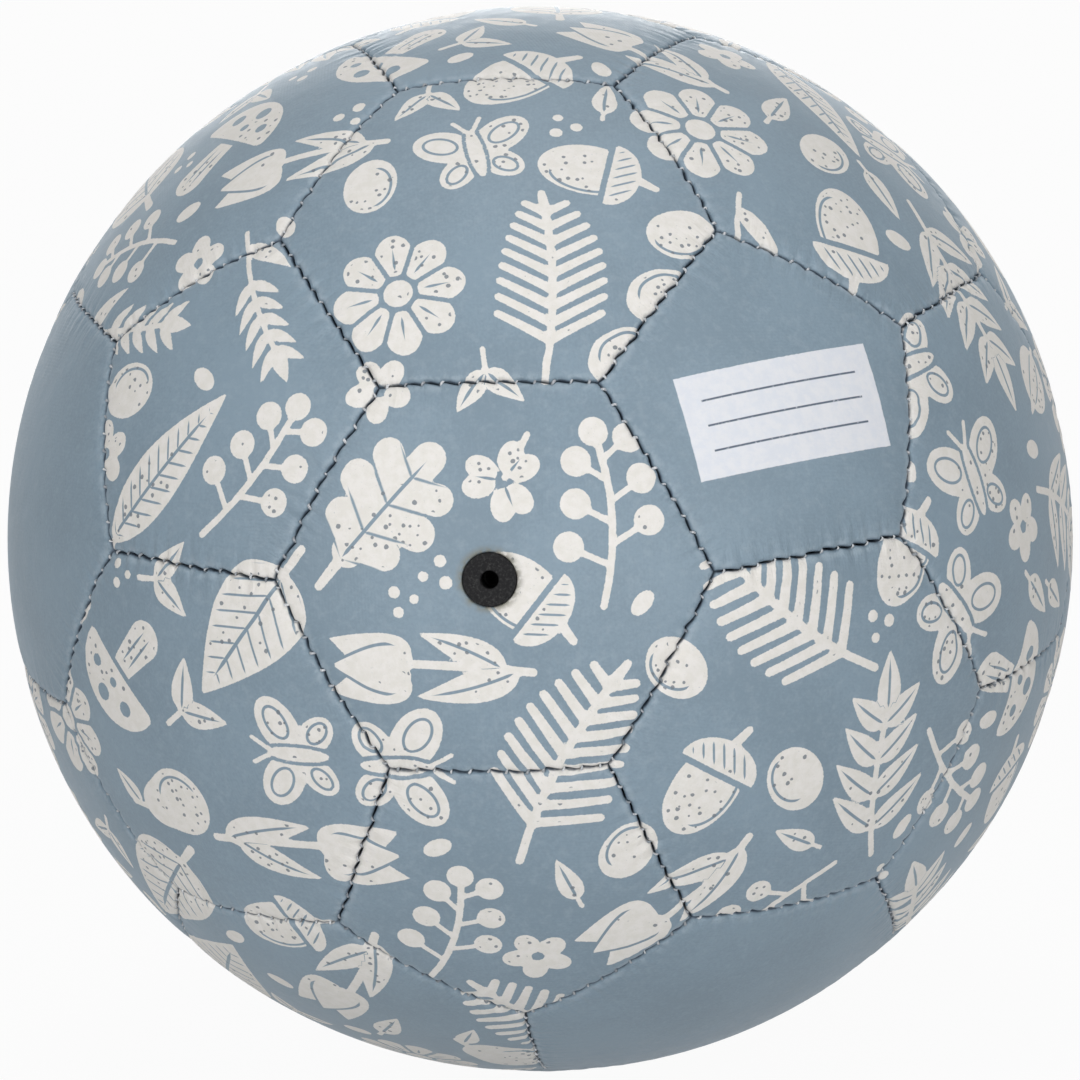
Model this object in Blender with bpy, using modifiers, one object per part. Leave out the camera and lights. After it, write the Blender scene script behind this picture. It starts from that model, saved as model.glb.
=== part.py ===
# Toy football: 32 sewn panels round a rubber bladder with a needle valve.
# Metres, +Z up. The ball stands on z = 0 on the middle of its lowest pentagon,
# and the valve faces the front, along -Y.

import math

import bmesh
import bpy
from mathutils import Matrix, Vector

# Ball
ball_diameter = 0.140
contact_radius = 0.009          # corners of the flat that the ball's own weight presses at the floor

# Panels: laminated sheet with its edge folded inwards
panel_thickness = 0.0018
fold_radius = 0.0020            # outer radius of the fold along every seam
allowance_depth = 0.0042        # cut edge of the folded part, below the ball's surface
seam_gap = 0.0003               # between the folded edges of two neighbours
side_segments = 3               # straight pieces along one side of a panel

# Seam thread: lies in the groove between two folds
thread_diameter = 0.0005
thread_depth = 0.0007           # centre of the thread, below the ball's surface

# Bladder
bladder_wall = 0.0010
bladder_panel_gap = 0.0005      # to the backs of the panels, room for their flat facets
bladder_edge_gap = 0.0003       # to the cut edges of the folded parts
bladder_land = 0.0026           # half width of the low band under each seam
bladder_rise = 0.0045           # width of the slope from that band up to the panel's back
bladder_side_segments = 2

# Valve body: nose in the panel's hole, flange on the bladder, stem inside it
nose_radius = 0.0034
nose_recess = 0.0001            # top of the nose, below the ball's surface
nose_chamfer = 0.0003
nose_hole_gap = 0.0003          # nose to the edge of the panel's hole
needle_radius = 0.00115
needle_mouth_radius = 0.0014
needle_mouth_depth = 0.0003
flange_radius = 0.0075
flange_thickness = 0.0009
flange_bladder_gap = 0.0003
stem_radius = 0.0045
stem_depth = 0.0140             # lower end of the stem, below the ball's surface
stem_chamfer = 0.0005
stem_hole_gap = 0.0003          # stem to the edge of the bladder's hole
chamber_radius = 0.0026
chamber_roof = 0.0008           # roof of the chamber, below the flange's underside
lip_radius = 0.0016             # opening in the lip that holds the core
lip_thickness = 0.0010

# Valve core: soft plug in the chamber
core_gap = 0.0003
core_chamfer = 0.0004
guide_radius = 0.0010           # mouth of the cone that leads the needle in
guide_depth = 0.0012

# Valve patch: washer behind the panel, round the nose
patch_radius = 0.0090
patch_thickness = 0.0007
patch_panel_gap = 0.0005        # to the back of the panel, room for its flat facets
patch_nose_gap = 0.0003
patch_flange_gap = 0.0003

turned_segments = 24            # straight pieces round the turned pieces
arc_segments = 3                # straight pieces along a domed face of a turned piece
merge_distance = 0.00005

# Colours and finish
sheet_colour = (0.247, 0.332, 0.418, 1.0)
rubber_colour = (0.012, 0.012, 0.013, 1.0)
bladder_colour = (0.055, 0.052, 0.050, 1.0)
cloth_colour = (0.62, 0.60, 0.55, 1.0)
thread_colour = (0.52, 0.53, 0.54, 1.0)

ball_radius = ball_diameter / 2
seam_edge = 4 * ball_radius / math.sqrt(58 + 18 * math.sqrt(5))
centre_height = math.sqrt(ball_radius ** 2 - contact_radius ** 2)
bladder_low_radius = ball_radius - allowance_depth - bladder_edge_gap
bladder_high_radius = ball_radius - panel_thickness - bladder_panel_gap
flange_under_radius = bladder_low_radius + flange_bladder_gap
flange_top_radius = flange_under_radius + flange_thickness
patch_top_radius = ball_radius - panel_thickness - patch_panel_gap
patch_under_radius = patch_top_radius - patch_thickness

# Tilt from the vertical of the rings of panels, from the regular icosahedron
pentagon_tilt = math.atan(2)
hexagon_tilt_high = math.acos(math.sqrt((5 + 2 * math.sqrt(5)) / 15))
hexagon_tilt_low = math.acos(math.sqrt((5 - 2 * math.sqrt(5)) / 15))
fifth = 2 * math.pi / 5

# Ring name, sides, tilt, turn of the first panel, own twist, panels in the ring
panel_rings = [
    ("crown_pentagon", 5, 0.0, fifth / 2, 0.0, 1),
    ("high_hexagon", 6, hexagon_tilt_high, 0.0, 0.0, 5),
    ("shoulder_pentagon", 5, pentagon_tilt, fifth / 2, math.pi, 5),
    ("upper_waist_hexagon", 6, hexagon_tilt_low, 0.0, 0.0, 5),
    ("lower_waist_hexagon", 6, math.pi - hexagon_tilt_low, fifth / 2, 0.0, 5),
    ("belly_pentagon", 5, math.pi - pentagon_tilt, 0.0, 0.0, 5),
    ("low_hexagon", 6, math.pi - hexagon_tilt_high, fifth / 2, 0.0, 5),
    ("rest_pentagon", 5, math.pi, fifth / 2, 0.0, 1),
]
valve_ring = "upper_waist_hexagon"
valve_turn_index = 0


def clear_scene():
    for obj in list(bpy.data.objects):
        bpy.data.objects.remove(obj, do_unlink=True)


def make_collection(name):
    group = bpy.data.collections.new(name)
    bpy.context.scene.collection.children.link(group)
    return group


def make_material(name, colour, roughness):
    material = bpy.data.materials.new(name)
    material.use_nodes = True
    shader = material.node_tree.nodes["Principled BSDF"]
    shader.inputs["Base Color"].default_value = colour
    shader.inputs["Roughness"].default_value = roughness
    shader.inputs["Metallic"].default_value = 0.0
    return material


def place(name, mesh, turn_matrix, material, group):
    obj = bpy.data.objects.new(name, mesh)
    obj.location = (0.0, 0.0, centre_height)
    obj.rotation_euler = turn_matrix.to_euler()
    if material is not None and not mesh.materials:
        mesh.materials.append(material)
    group.objects.link(obj)
    return obj


def corner_radius(sides):
    return seam_edge / (2 * math.sin(math.pi / sides))


def plane_distance(sides):
    return math.sqrt(ball_radius ** 2 - corner_radius(sides) ** 2)


def panel_turn(tilt, turn, twist):
    return Matrix.Rotation(turn, 4, 'Z') @ Matrix.Rotation(tilt, 4, 'X') @ Matrix.Rotation(twist, 4, 'Z')


def add_polygon(bm, sides, size, turn_matrix):
    edge_forward = Matrix.Rotation(math.pi / sides, 4, 'Z')
    outward = Matrix.Translation((0.0, 0.0, plane_distance(sides)))
    bmesh.ops.create_circle(bm, cap_ends=True, segments=sides, radius=corner_radius(sides) * size,
                            matrix=turn_matrix @ outward @ edge_forward)


def add_rings(bm, face, depths, insets):
    # Each ring of corners keeps its number and its depth below the ball's surface.
    ring = bm.verts.layers.float["ring"]
    depth = bm.verts.layers.float["depth"]
    for corner in face.verts:
        corner[depth] = depths[0]
    for number, (inset, below) in enumerate(zip(insets, depths[1:]), start=1):
        bmesh.ops.inset_region(bm, faces=[face], thickness=inset, use_boundary=True,
                               use_even_offset=True)
        for corner in face.verts:
            corner[ring] = number
            corner[depth] = below
    bmesh.ops.poke(bm, faces=[face])


def cut_rings(bm, segments):
    ring = bm.verts.layers.float["ring"]
    along = [edge for edge in bm.edges if abs(edge.verts[0][ring] - edge.verts[1][ring]) < 0.5]
    bmesh.ops.subdivide_edges(bm, edges=along, cuts=segments - 1, use_grid_fill=True)


def lay_on_ball(bm):
    depth = bm.verts.layers.float["depth"]
    for corner in bm.verts:
        corner.co = corner.co.normalized() * (ball_radius - corner[depth])


def ringed_bmesh():
    bm = bmesh.new()
    bm.verts.layers.float.new("ring")
    bm.verts.layers.float.new("depth")
    return bm


def finish_mesh(bm, name):
    mesh = bpy.data.meshes.new(name)
    bm.to_mesh(mesh)
    bm.free()
    return mesh


def press_contact(bm):
    # The corners next to the middle move out to the rim of the flat.
    middle = max(bm.verts, key=lambda corner: corner.co.z - corner.co.to_2d().length)
    for edge in middle.link_edges:
        corner = edge.other_vert(middle)
        flat = corner.co.to_2d().normalized() * contact_radius
        corner.co = Vector((flat.x, flat.y, centre_height))
    middle.co.z = centre_height


def panel_mesh(name, sides, pressed):
    bm = ringed_bmesh()
    apothem = corner_radius(sides) * math.cos(math.pi / sides)
    add_polygon(bm, sides, 1 - seam_gap / 2 / apothem, Matrix.Identity(4))
    half_way = fold_radius * (1 - math.cos(math.pi / 4))
    add_rings(bm, bm.faces[:][0], [fold_radius, half_way, 0.0], [half_way, fold_radius - half_way])
    cut_rings(bm, side_segments)
    lay_on_ball(bm)
    if pressed:
        press_contact(bm)
    rim = [edge for edge in bm.edges if edge.is_boundary]
    folded = bmesh.ops.extrude_edge_only(bm, edges=rim)["geom"]
    for corner in [item for item in folded if isinstance(item, bmesh.types.BMVert)]:
        corner.co = corner.co.normalized() * (ball_radius - allowance_depth)
    bmesh.ops.recalc_face_normals(bm, faces=bm.faces)
    if max(bm.faces, key=lambda face: face.calc_center_median().z).normal.z < 0:
        bmesh.ops.reverse_faces(bm, faces=bm.faces)
    return finish_mesh(bm, name)


def thicken(obj, thickness):
    shell = obj.modifiers.new("Sheet thickness", 'SOLIDIFY')
    shell.thickness = thickness
    shell.offset = -1.0
    shell.use_even_offset = True
    shell.use_quality_normals = True


def cut(obj, cutter):
    hole = obj.modifiers.new("Hole", 'BOOLEAN')
    hole.operation = 'DIFFERENCE'
    hole.solver = 'EXACT'
    hole.object = cutter


def make_cutter(name, radius, inner, outer, turn_matrix, group):
    bm = bmesh.new()
    bmesh.ops.create_cone(bm, cap_ends=True, segments=turned_segments, radius1=radius, radius2=radius,
                          depth=outer - inner, matrix=Matrix.Translation((0.0, 0.0, (inner + outer) / 2)))
    obj = place(name, finish_mesh(bm, name), turn_matrix, None, group)
    obj.display_type = 'WIRE'
    obj.hide_render = True
    return obj


def make_panels(group, cutter_group):
    sheet = make_material("panel_sheet", sheet_colour, 0.45)
    shared = {5: panel_mesh("pentagon_sheet", 5, False), 6: panel_mesh("hexagon_sheet", 6, False)}
    pressed_mesh = panel_mesh("rest_sheet", 5, True)
    for ring_name, sides, tilt, first_turn, twist, count in panel_rings:
        for index in range(count):
            turn_matrix = panel_turn(tilt, first_turn + index * fifth, twist)
            name = ring_name if count == 1 else f"{ring_name}_{index + 1}"
            mesh = pressed_mesh if ring_name == "rest_pentagon" else shared[sides]
            is_valve = ring_name == valve_ring and index == valve_turn_index
            obj = place("valve_hexagon" if is_valve else name, mesh, turn_matrix, sheet, group)
            thicken(obj, panel_thickness)
            if is_valve:
                cut(obj, make_cutter("nose_hole_cutter", nose_radius + nose_hole_gap,
                                     patch_under_radius, ball_radius + panel_thickness,
                                     turn_matrix, cutter_group))


def seam_cage():
    bm = ringed_bmesh()
    for ring_name, sides, tilt, first_turn, twist, count in panel_rings:
        for index in range(count):
            add_polygon(bm, sides, 1.0, panel_turn(tilt, first_turn + index * fifth, twist))
    bmesh.ops.remove_doubles(bm, verts=bm.verts, dist=merge_distance)
    bmesh.ops.recalc_face_normals(bm, faces=bm.faces)
    return bm


def make_thread(group):
    bm = seam_cage()
    radius = ball_radius - thread_depth
    for corner in bm.verts:
        corner.co = corner.co.normalized() * radius
    bmesh.ops.wireframe(bm, faces=bm.faces, thickness=thread_diameter, use_replace=True,
                        use_boundary=True, use_even_offset=True)
    # Each straight run is cut into side_segments pieces, bent to follow the ball.
    runs = [edge for edge in bm.edges if edge.calc_length() > seam_edge / 2]
    cuts = bmesh.ops.subdivide_edges(bm, edges=runs, cuts=side_segments - 1)["geom_inner"]
    chord = seam_edge * radius / ball_radius
    chord_distance = math.sqrt(radius ** 2 - (chord / 2) ** 2)
    cut_distance = math.hypot(chord_distance, chord / (2 * side_segments))
    for corner in [item for item in cuts if isinstance(item, bmesh.types.BMVert)]:
        corner.co += corner.co.normalized() * (radius - cut_distance)
    bmesh.ops.recalc_face_normals(bm, faces=bm.faces)
    place("seam_thread", finish_mesh(bm, "seam_thread"), Matrix.Identity(4),
          make_material("seam_thread", thread_colour, 0.7), group)


def valve_matrix():
    for ring_name, sides, tilt, first_turn, twist, count in panel_rings:
        if ring_name == valve_ring:
            return panel_turn(tilt, first_turn + valve_turn_index * fifth, twist)


def make_bladder(group, cutter_group):
    bm = seam_cage()
    valve_axis = valve_matrix() @ Vector((0.0, 0.0, 1.0))
    low = ball_radius - bladder_low_radius
    high = ball_radius - bladder_high_radius
    for face in bm.faces[:]:
        over_valve = face.calc_center_median().angle(valve_axis) < fifth / 10
        middle = low if over_valve else high
        add_rings(bm, face, [low, low, middle], [bladder_land, bladder_rise])
    cut_rings(bm, bladder_side_segments)
    lay_on_ball(bm)
    floor = bladder_high_radius - (ball_radius - centre_height)
    for corner in bm.verts:
        corner.co.z = max(corner.co.z, -floor)
    obj = place("bladder", finish_mesh(bm, "bladder"), Matrix.Identity(4),
                make_material("bladder_rubber", bladder_colour, 0.6), group)
    thicken(obj, bladder_wall)
    cut(obj, make_cutter("stem_hole_cutter", stem_radius + stem_hole_gap,
                         bladder_low_radius - 3 * bladder_wall, ball_radius,
                         valve_matrix(), cutter_group))


def dome(radius, inner, outer):
    # Points on a sphere about the ball's centre, from the inner to the outer distance from the axis.
    steps = [inner + (outer - inner) * index / arc_segments for index in range(arc_segments + 1)]
    return [(step, math.sqrt(radius ** 2 - step ** 2)) for step in steps]


def turned(name, profile, material, group):
    # The profile is a closed outline of (distance from the axis, height) points.
    bm = bmesh.new()
    corners = [bm.verts.new((distance, 0.0, height)) for distance, height in profile]
    for index, corner in enumerate(corners):
        bm.edges.new((corner, corners[(index + 1) % len(corners)]))
    obj = place(name, finish_mesh(bm, name), valve_matrix(), material, group)
    spin = obj.modifiers.new("Turn", 'SCREW')
    spin.steps = turned_segments
    spin.render_steps = turned_segments
    spin.use_merge_vertices = True
    spin.merge_threshold = merge_distance
    spin.use_normal_calculate = True
    return obj


def make_valve_body(group):
    top = ball_radius - nose_recess
    bottom = ball_radius - stem_depth
    roof = flange_under_radius - chamber_roof
    profile = [(needle_mouth_radius, top), (nose_radius - nose_chamfer, top), (nose_radius, top - nose_chamfer)]
    profile += dome(flange_top_radius, nose_radius, flange_radius)
    profile += reversed(dome(flange_under_radius, stem_radius, flange_radius))
    profile += [(stem_radius, bottom + stem_chamfer), (stem_radius - stem_chamfer, bottom),
                (lip_radius, bottom), (lip_radius, bottom + lip_thickness),
                (chamber_radius, bottom + lip_thickness), (chamber_radius, roof),
                (needle_radius, roof), (needle_radius, top - needle_mouth_depth)]
    turned("valve_body", profile, make_material("valve_rubber", rubber_colour, 0.5), group)


def make_valve_core(group):
    radius = chamber_radius - core_gap
    top = flange_under_radius - chamber_roof - core_gap
    bottom = ball_radius - stem_depth + lip_thickness + core_gap
    profile = [(0.0, top - guide_depth), (guide_radius, top), (radius - core_chamfer, top),
               (radius, top - core_chamfer), (radius, bottom + core_chamfer),
               (radius - core_chamfer, bottom), (0.0, bottom)]
    bm = bmesh.new()
    corners = [bm.verts.new((distance, 0.0, height)) for distance, height in profile]
    for first, second in zip(corners, corners[1:]):
        bm.edges.new((first, second))
    obj = place("valve_core", finish_mesh(bm, "valve_core"), valve_matrix(),
                make_material("core_rubber", rubber_colour, 0.55), group)
    spin = obj.modifiers.new("Turn", 'SCREW')
    spin.steps = turned_segments
    spin.render_steps = turned_segments
    spin.use_merge_vertices = True
    spin.merge_threshold = merge_distance
    spin.use_normal_calculate = True


def make_valve_patch(group):
    inner = nose_radius + patch_nose_gap
    profile = dome(patch_top_radius, inner, patch_radius)
    profile += reversed(dome(patch_under_radius, inner, patch_radius))
    turned("valve_patch", profile, make_material("patch_cloth", cloth_colour, 0.9), group)


def main():
    clear_scene()
    ball = make_collection("toy_ball")
    cutters = make_collection("cutters")
    make_panels(ball, cutters)
    make_thread(ball)
    make_bladder(ball, cutters)
    make_valve_body(ball)
    make_valve_core(ball)
    make_valve_patch(ball)


main()
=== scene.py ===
from functools import reduce
from math import acos, asin, atan, atan2, cos, pi, radians, sin, sqrt, tan, tau

import bpy
import numpy as np
from mathutils import Matrix, Vector


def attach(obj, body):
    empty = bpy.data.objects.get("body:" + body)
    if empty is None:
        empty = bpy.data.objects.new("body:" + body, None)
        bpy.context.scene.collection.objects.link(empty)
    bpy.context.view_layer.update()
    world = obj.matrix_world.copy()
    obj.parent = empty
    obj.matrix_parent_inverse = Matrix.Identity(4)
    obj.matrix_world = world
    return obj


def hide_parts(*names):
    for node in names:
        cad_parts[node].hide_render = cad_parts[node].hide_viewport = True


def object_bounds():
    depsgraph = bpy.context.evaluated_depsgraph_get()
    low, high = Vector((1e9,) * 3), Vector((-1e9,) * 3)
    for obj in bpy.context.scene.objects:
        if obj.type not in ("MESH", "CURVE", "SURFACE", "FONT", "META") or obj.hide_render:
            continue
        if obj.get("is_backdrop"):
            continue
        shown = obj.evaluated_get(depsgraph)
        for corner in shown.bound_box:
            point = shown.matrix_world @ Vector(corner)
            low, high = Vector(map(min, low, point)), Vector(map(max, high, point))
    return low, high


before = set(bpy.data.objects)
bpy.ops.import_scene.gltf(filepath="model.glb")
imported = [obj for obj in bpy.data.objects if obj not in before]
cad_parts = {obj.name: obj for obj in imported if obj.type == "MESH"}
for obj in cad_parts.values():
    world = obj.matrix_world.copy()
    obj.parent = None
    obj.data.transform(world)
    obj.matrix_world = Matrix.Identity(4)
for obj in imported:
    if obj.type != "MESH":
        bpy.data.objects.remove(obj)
cad_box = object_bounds()

# Sizes of the ball, in millimetres, as in the part
ball_radius = 70.0
contact_radius = 9.0
seam_edge = 4 * ball_radius / sqrt(58 + 18 * sqrt(5))
seam_arc = 2 * ball_radius * asin(seam_edge / 2 / ball_radius)
centre_height = sqrt(ball_radius ** 2 - contact_radius ** 2)
pentagon_tilt = atan(2)
hexagon_tilt_high = acos(sqrt((5 + 2 * sqrt(5)) / 15))
hexagon_tilt_low = acos(sqrt((5 - 2 * sqrt(5)) / 15))
fifth = tau / 5
metres = 0.001

panel_rings = [
    ("crown_pentagon", 5, 0.0, fifth / 2, 0.0, 1),
    ("high_hexagon", 6, hexagon_tilt_high, 0.0, 0.0, 5),
    ("shoulder_pentagon", 5, pentagon_tilt, fifth / 2, pi, 5),
    ("upper_waist_hexagon", 6, hexagon_tilt_low, 0.0, 0.0, 5),
    ("lower_waist_hexagon", 6, pi - hexagon_tilt_low, fifth / 2, 0.0, 5),
    ("belly_pentagon", 5, pi - pentagon_tilt, 0.0, 0.0, 5),
    ("low_hexagon", 6, pi - hexagon_tilt_high, fifth / 2, 0.0, 5),
    ("rest_pentagon", 5, pi, fifth / 2, 0.0, 1),
]
plain_panels = {"upper_waist_hexagon_5", "low_hexagon_1", "high_hexagon_4", "lower_waist_hexagon_3",
                "belly_pentagon_3"}
label_panel = "shoulder_pentagon_1"
valve_panel = "valve_hexagon"

# Panel surface, in millimetres
sheet_radius = 69.88
side_stitches = 12
stitch_segments = 5
fold_radius = 0.55
fold_steps = 6
wall_depths = (0.7, 1.5)
roll_depth = 0.26
roll_width = 2.4
edge_depth = 0.15
edge_width = 0.8
half_gap_closed = 0.02
half_gap_open = 0.11
gap_reach = 1.6
dip_width = 0.2
stagger = 0.1
pull_range = (0.6, 1.25)
slant_depth = 0.24
slant_reach = 1.2
slant_turn = 0.1
pucker_depth = 0.27
pucker_lift = 0.35
pucker_reach = 1.25
wrinkle_depth = 0.10
wrinkle_reach = 3.0
wrinkle_lengths = (1.3, 2.1, 3.7)
corner_depth = 0.14
corner_reach = 1.3
sway_depth = 0.13
sway_reach = 4.0
sway_lengths = (2.9, 4.7, 9.0)
hole_radius = 3.5
hole_round = 0.4
hole_sink = 0.2
hole_sink_reach = 0.6
hole_steps = 4
hole_walls = (0.8, 1.6)
hole_first_row = 10
hole_blend_rows = 16
far_from_hole = 99.0
far_from_seam = 20.0

# Stitches from a corner until a seam is fully open, and its stitches fully slanted
widening = 0.8
slanting = 1.5

# Stitches, in millimetres and radians, with the ranges in which they differ
rung_half = 0.42
rung_radius = 0.155
rung_top = 0.21
rung_drop = 0.5
rung_around = 7
rung_steps = 7
rung_lean = 0.45
seam_lean = (-0.15, 0.15)
seam_sink = (-0.04, 0.16)
# Seam and stitch tones: the lower they are, the more the stitch is painted in shade
seam_tone = (0.35, 1.0)
stitch_shift = (-0.05, 0.05)
stitch_lean = (-0.3, 0.3)
stitch_size = (0.7, 1.25)
stitch_rise = (-0.06, 0.04)
stitch_tone = (-0.45, 0.45)

# Valve, in millimetres: its face, then radius and height of the rest, down to the stem and up the bore
nose_radius = 3.42
nose_top = sheet_radius - 0.1
nose_edge = 0.2
mouth_radius = 1.15
mouth_edge = 0.22
valve_profile = [
    (nose_radius, 66.61), (5.4, 66.48), (7.5, 66.28), (7.5, 65.37), (5.4, 65.58), (4.5, 65.64), (4.5, 56.5),
    (4.0, 56.0), (1.6, 56.0), (1.6, 57.0), (2.6, 57.0), (2.6, 65.0), (mouth_radius, 65.0),
]
valve_segments = 72

# Label patch, in millimetres
label_half_width = 14.4
label_half_height = 6.85
label_centre = (0.23, -1.38)
rule_pitch = 3.3
rule_half = 0.13
rule_half_length = 11.6
rules_half_height = 4.95

# Weave of the cloth behind the sheet, in millimetres and radians, and the share of panels cut along it
weave_pitch = 0.45
weave_lean = 0.3
weave_along = 0.7

# Seeds of the random draws
sway_seed = 5
panel_seed = 7
stitch_seed = 19
print_seed = 41

# Colours in even light
sheet_colour = (131, 150, 164)
# Lighter colour of worn patches, also used for the painted highlight on the folds beside the seams
wear_and_highlight_colour = (158, 173, 185)
ink_colour = (235, 232, 228)
thin_ink_colour = (228, 225, 219)
speck_colour = (112, 121, 130)
# Painted shade in the seam crease
crease_shade_colour = (82, 94, 108)
# Painted shade beside the seams
seam_shade_colour = (96, 110, 122)
smudge_colour = (128, 126, 112)
label_colour = (224, 228, 236)
bright_label_colour = (231, 233, 238)
rule_colour = (92, 104, 120)
# Lit stitch thread, and the same thread painted in shade
thread_colour = (226, 228, 230)
shaded_thread_colour = (118, 126, 134)
valve_colours = (17, 17, 19), (62, 62, 62)
bladder_colours = (62, 60, 58), (74, 72, 70)
core_colours = (28, 28, 29), (36, 36, 37)
cloth_colours = (196, 190, 178), (214, 209, 198)
sheet_tones = (0.935, 1.065)
rubber_roughness = 0.6


def linear(rgb, tone=1.0):
    values = [value / 255 for value in rgb]
    return [(v / 12.92 if v <= 0.04045 else ((v + 0.055) / 1.055) ** 2.4) * tone for v in values] + [1.0]


def panel_list():
    # Name, sides and turn of every panel.
    found = []
    for ring_name, sides, tilt, first_turn, twist, count in panel_rings:
        for index in range(count):
            turn = (Matrix.Rotation(first_turn + index * fifth, 3, 'Z') @ Matrix.Rotation(tilt, 3, 'X')
                    @ Matrix.Rotation(twist, 3, 'Z'))
            name = ring_name if count == 1 else f"{ring_name}_{index + 1}"
            if name == "upper_waist_hexagon_1":
                name = valve_panel
            found.append((name, sides, np.array(turn)))
    return found


# Print: each motif draws its ink, and the thin lines left bare in it, at places in millimetres.
no_ink = 3.0
no_line = -0.3
ink_gap = 0.5
line_width = 0.2


class Drawing:
    # Ink is below zero where it is printed. A rib is one line, bare where its distance is under its half
    # width. Lines repeat once per whole phase, and their half width is a share of that.
    blank = {"ink": no_ink, "rib": 0.0, "rib_half": no_line, "phase": 0.0, "line_half": no_line}

    def __init__(self, x, y, chance):
        self.x, self.y, self.chance = x, y, chance
        self.values = {kind: np.full(x.shape, value) for kind, value in self.blank.items()}

    def add(self, ink, **lines):
        closer = ink < self.values["ink"]
        for kind, value in self.blank.items():
            new = ink if kind == "ink" else lines.get(kind, value)
            self.values[kind] = np.where(closer, new, self.values[kind])

    def carve(self, hole):
        self.values["ink"] = np.maximum(self.values["ink"], -hole)

    def stroke(self, start, end, start_radius, end_radius=None):
        end_radius = start_radius if end_radius is None else end_radius
        dx, dy = end[0] - start[0], end[1] - start[1]
        along = np.clip(((self.x - start[0]) * dx + (self.y - start[1]) * dy) / (dx * dx + dy * dy), 0, 1)
        far = np.hypot(self.x - start[0] - along * dx, self.y - start[1] - along * dy)
        self.add(far - (start_radius + (end_radius - start_radius) * along))

    def disc(self, centre, radius):
        return np.hypot(self.x - centre[0], self.y - centre[1]) - radius

    def oval(self, centre, half_width, half_height):
        return flat_oval(self.x - centre[0], self.y - centre[1], half_width, half_height)

    def leaf(self, base, turn, length, width, bend=0.0, rib=line_width, veins=0.0, peak=0.62):
        # A pointed leaf from its base; turn 0 points up. Veins is the distance between the side veins.
        v, u = turned(self.x - base[0], self.y - base[1], turn)
        v = v - bend * (u / length) ** 2
        half = width / 2 * np.sin(pi * np.clip(u / length, 0, 1) ** peak) ** 0.9
        side = np.abs(v) - half
        past = np.maximum(np.maximum(-u, u - length), 0)
        ink = np.hypot(np.maximum(side, 0), past) + np.minimum(side, 0) * 0.9
        lines = {}
        if rib:
            lines["rib"] = v
            lines["rib_half"] = least(rib, (0.84 * length - u) * 0.12, (u - 0.06 * length) * 0.4)
        if veins:
            lines["phase"] = (u - 0.75 * np.abs(v)) / veins
            room = least((-side - 0.6) * 0.3, (np.abs(v) - 0.1) * 0.8, (0.9 * length - u) * 0.1)
            lines["line_half"] = np.minimum(0.8 * line_width, room) / veins
        self.add(ink, **lines)

    def spread(self, count, lean=0.0):
        # Places folded into one of equal sectors round the middle: outwards and to the side.
        step = tau / count
        turn = np.mod(np.arctan2(self.y, self.x) + lean + step / 2, step) - step / 2
        far = np.hypot(self.x, self.y)
        return far * np.cos(turn), far * np.sin(turn)


def least(*values):
    return reduce(np.minimum, values)


def turned(x, y, turn):
    return x * cos(turn) + y * sin(turn), y * cos(turn) - x * sin(turn)


def flat_oval(u, v, half_width, half_height):
    first = np.hypot(u / half_width, v / half_height)
    second = np.hypot(u / half_width ** 2, v / half_height ** 2)
    return first * (first - 1) / np.maximum(second, 1e-6)


class Stem:
    # A curved stem, drawn from its foot at -0.5 of its length up to a height.
    def __init__(self, d, length, bend, radius, high):
        self.length, self.bend = length, bend
        points = self.points(-0.5, high, 7)
        for start, end in zip(points, points[1:]):
            d.stroke(start, end, radius)

    def points(self, low, high, count):
        return [(self.bend * (1 - (2 * h) ** 2), h * self.length) for h in np.linspace(low, high, count)]

    def point(self, height):
        return self.points(height, height, 1)[0]


def sprig(d):
    stem = Stem(d, 27.0, d.chance.uniform(-3.0, 3.0), 0.42, 0.26)
    for index, base in enumerate(stem.points(-0.34, 0.18, 4)):
        size = 9.2 - 0.8 * index
        for side in (-1, 1):
            d.leaf(base, side * (0.98 + d.chance.uniform(-0.06, 0.06)), size, 3.4, bend=side * 0.9)
    d.leaf(stem.point(0.24), 0.0, 7.6, 3.6)


def fern(d):
    stem = Stem(d, 26.0, d.chance.uniform(-3.5, 3.5), 0.48, 0.42)
    for index, base in enumerate(stem.points(-0.3, 0.4, 9)):
        reach = 7.6 - 0.055 * (index - 1.0) ** 2 * 1.7
        for side in (-1, 1):
            tip = (base[0] + side * reach * 0.86, base[1] + reach * 0.5)
            d.stroke(base, tip, 0.64, 0.5)
    d.stroke(stem.point(0.4), stem.point(0.52), 0.8, 0.5)


def broad_leaf(d):
    bend = d.chance.uniform(-2.0, 2.0)
    d.leaf((0.0, -8.6), 0.0, 20.0, 12.0, bend=bend, rib=0.26, veins=2.5, peak=0.55)
    d.stroke((0.0, -12.0), (0.0, -8.2), 0.6, 0.45)


def long_leaf(d):
    bend = d.chance.uniform(-4.0, 4.0)
    d.leaf((0.0, -11.0), 0.0, 23.0, 7.0, bend=bend, rib=0.24, veins=1.9, peak=0.75)
    d.stroke((0.0, -13.0), (0.0, -10.5), 0.55, 0.4)


def oak_leaf(d):
    for low, out, high, radius in ((-5.0, 3.6, -3.4, 1.9), (-1.0, 4.9, 1.0, 2.1), (3.2, 4.0, 5.4, 1.9)):
        for side in (-1, 1):
            d.stroke((0.0, low), (side * out, high), 1.7, radius)
    d.stroke((0.0, -6.0), (0.0, 8.2), 2.0, 2.0)
    d.stroke((0.0, -11.5), (0.0, -6.0), 0.55, 0.7)
    far = np.abs(d.x)
    d.values["rib"] = d.x
    d.values["rib_half"] = least(0.24, (7.6 - d.y) * 0.1, (d.y + 7.0) * 0.3)
    d.values["phase"] = (d.y - 0.5 * far + 1.0) / 4.2
    half = least(0.17, (4.6 - far) * 0.15, (far - 0.1) * 0.8, (7.0 - np.abs(d.y)) * 0.2)
    d.values["line_half"] = half / 4.2


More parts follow.
